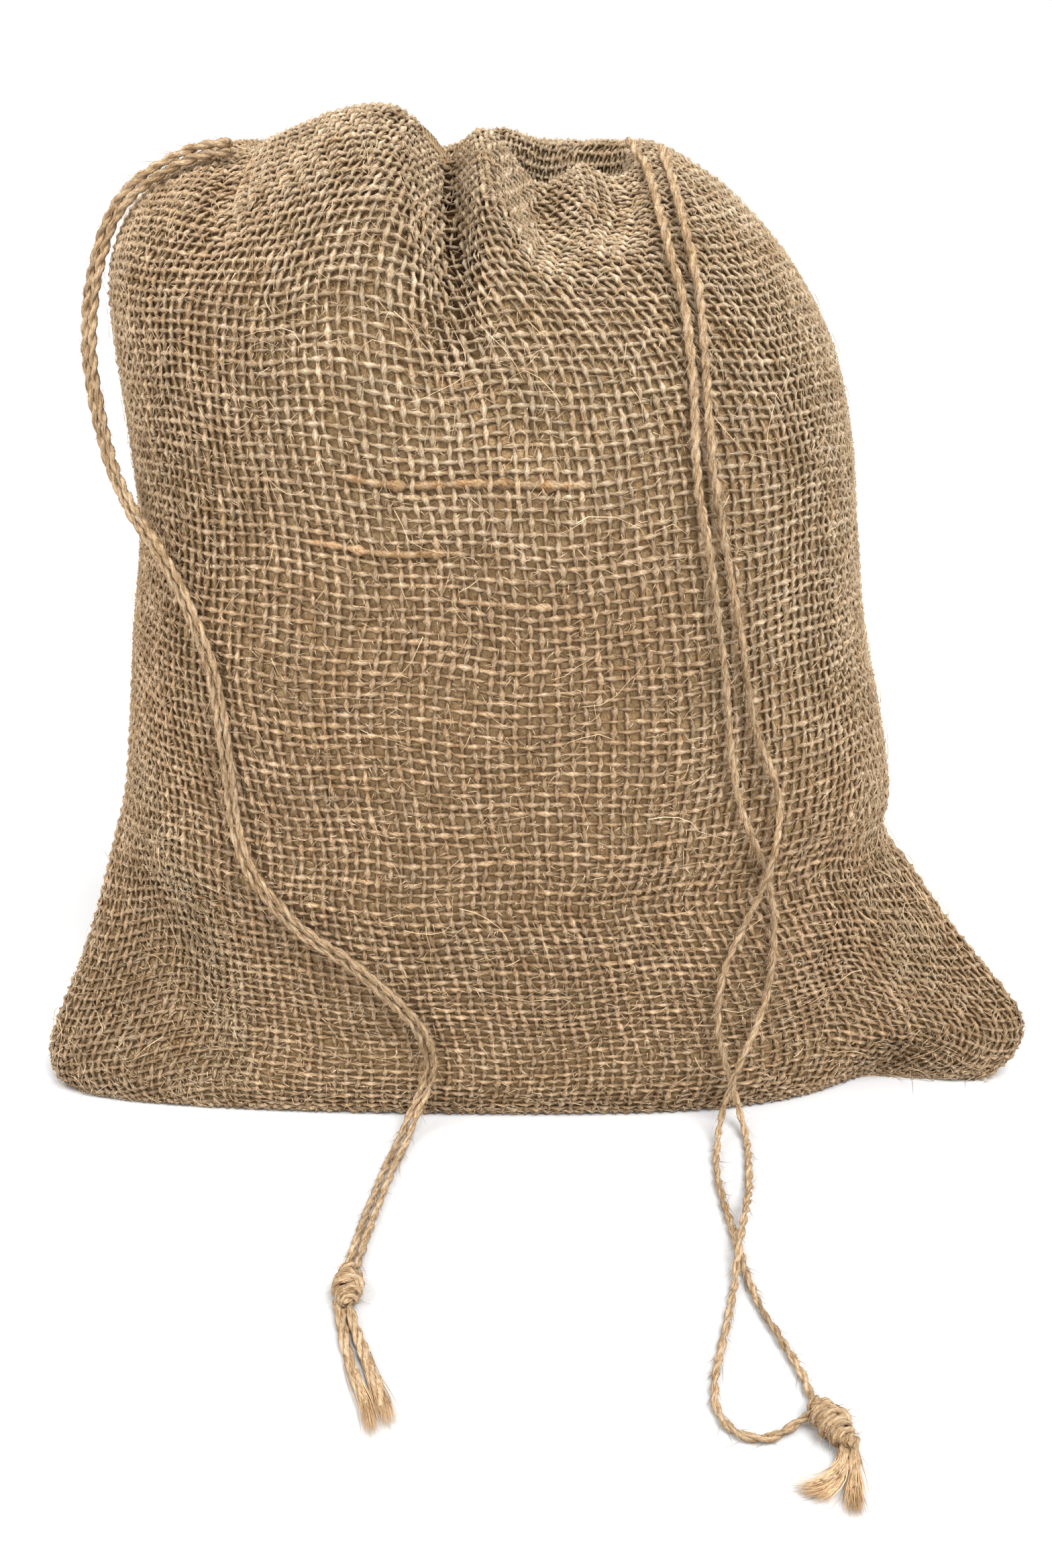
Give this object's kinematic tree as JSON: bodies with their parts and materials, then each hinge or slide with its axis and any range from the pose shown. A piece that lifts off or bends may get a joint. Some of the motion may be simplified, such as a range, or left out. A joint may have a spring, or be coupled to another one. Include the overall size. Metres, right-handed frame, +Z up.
{
  "type": "burlap drawstring sack",
  "caption": "Standing burlap sack with a gathered open mouth, spread bottom corners and doubled, knotted drawstrings falling over its front.",
  "frame": {"origin": "on the standing surface, under the middle of the sack's own box", "axes": "+Z up, the front face with the strings towards -Y, the sack's width along X"},
  "size_m": [0.2446, 0.2501, 0.2261],
  "materials": {
    "burlap": "coarse plain weave of natural jute, dry and matt, with loose fibres",
    "jute_string": "two-ply twisted natural jute, dry and matt, hairy"
  },
  "bodies": {
    "root": {"sack": "burlap", "left_string_one": "jute_string", "left_string_two": "jute_string", "right_string_one": "jute_string", "right_string_two": "jute_string", "left_knot": "jute_string", "right_knot": "jute_string", "left_tail_one": "jute_string", "left_tail_two": "jute_string", "right_tail_one": "jute_string", "right_tail_two": "jute_string"}
  },
  "joints": []
}
